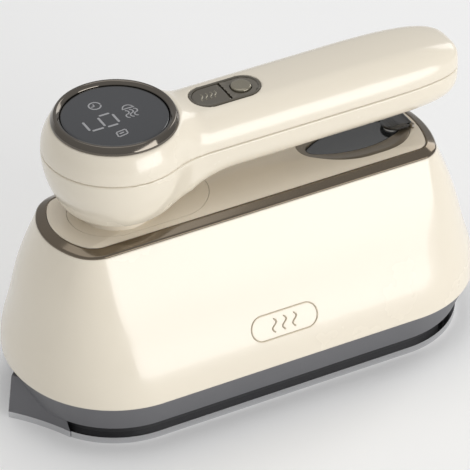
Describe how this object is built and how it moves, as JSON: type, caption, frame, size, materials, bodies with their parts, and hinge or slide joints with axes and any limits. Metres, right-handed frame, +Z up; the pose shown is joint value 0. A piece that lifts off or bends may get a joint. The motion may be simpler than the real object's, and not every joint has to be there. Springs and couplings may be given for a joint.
{
  "type": "travel steam iron",
  "caption": "Compact steam travel iron: pointed soleplate, cream water tank body, handle that swings on a pivot hub with round display, button panel and filler flap",
  "frame": {"origin": "On the ironing plane (underside of the soleplate), halfway between the tip of the nose and the heel, on the long centre line", "axes": "+X from nose to heel, +Y to the side that faces away when the nose points left, +Z up through the handle"},
  "size_m": [0.1818, 0.0816, 0.1149],
  "materials": {
    "sole_steel": "polished and lightly brushed soleplate",
    "cast_alloy": "as cast",
    "heater_steel": "heat tinted sheath",
    "bright_steel": "machined",
    "zinc_steel": "zinc plated",
    "grey_shield": "satin heat resistant moulding",
    "cream_shell": "polished cream moulding",
    "trim_chrome": "smoked mirror plating",
    "deck_cream": "polished cream moulding",
    "shell_cream": "polished cream moulding",
    "dark_lens": "smoked display cover",
    "ring_chrome": "smoked mirror plating",
    "taupe_satin": "satin taupe lacquer",
    "taupe_gloss": "smoked gloss moulding",
    "button_satin": "satin taupe lacquer",
    "tank_clear": "clear water tank",
    "pane_dark": "smoked window",
    "seal_rubber": "silicone",
    "black_moulding": "satin moulding",
    "white_moulding": "plain moulding",
    "green_board": "solder mask",
    "amber_coil": "wound and taped coil"
  },
  "bodies": {
    "base": {"soleplate": "sole_steel", "sole_casting": "cast_alloy", "heating_element": "heater_steel", "heater_terminals": "bright_steel", "steam_chamber_cover": "cast_alloy", "cover_screws": "zinc_steel", "steam_inlet": "bright_steel", "temperature_sensor": "bright_steel", "thermal_fuse": "bright_steel", "fuse_clip": "zinc_steel", "heat_shield": "grey_shield", "shield_spacers": "zinc_steel", "shield_screws": "zinc_steel", "hull_shell": "cream_shell", "hull_screws": "zinc_steel", "cord_gland": "black_moulding", "trim_ring": "trim_chrome", "deck_panel": "deck_cream", "pivot_plinth": "deck_cream", "pivot_shaft": "bright_steel", "pivot_retainer": "zinc_steel", "water_tank": "tank_clear", "tank_cover": "tank_clear", "tank_gasket": "seal_rubber", "tank_bezel": "taupe_satin", "tank_window": "pane_dark", "filler_spout": "white_moulding", "pump_body": "white_moulding", "pump_coil": "amber_coil", "suction_hose": "seal_rubber", "steam_hose": "seal_rubber", "control_board": "green_board", "board_parts": "black_moulding", "terminal_block": "white_moulding"},
    "handle": {"handle_lower_shell": "shell_cream", "handle_upper_shell": "shell_cream", "handle_screws": "zinc_steel", "display_ring": "ring_chrome", "display_lens": "dark_lens", "display_module": "black_moulding", "display_board": "green_board", "button_panel": "taupe_gloss", "switch_board": "green_board", "push_switches": "black_moulding", "pivot_washer": "white_moulding"},
    "flap": {"filler_flap": "pane_dark", "filler_pin": "bright_steel"},
    "steam_key": {"steam_button": "taupe_gloss"},
    "power_key": {"power_button": "button_satin"}
  },
  "joints": [
    {"name": "handle_swing", "type": "hinge", "parent": "base", "child": "handle", "pos_m": [-0.047, 0, 0.08], "axis": [0, 0, 1], "range_deg": [0, 180]},
    {"name": "filler_flap_hinge", "type": "hinge", "parent": "base", "child": "flap", "pos_m": [0.0683, 0, 0.0754], "axis": [0, 1, 0], "range_deg": [0, 80]},
    {"name": "steam_button_press", "type": "slide", "parent": "handle", "child": "steam_key", "axis": [0, 0, -1], "range_m": [0, 0.0012], "stiffness_N_per_m": 600, "springref_m": -0.0005},
    {"name": "power_button_press", "type": "slide", "parent": "handle", "child": "power_key", "axis": [0, 0, -1], "range_m": [0, 0.001], "stiffness_N_per_m": 600, "springref_m": -0.0005}
  ]
}
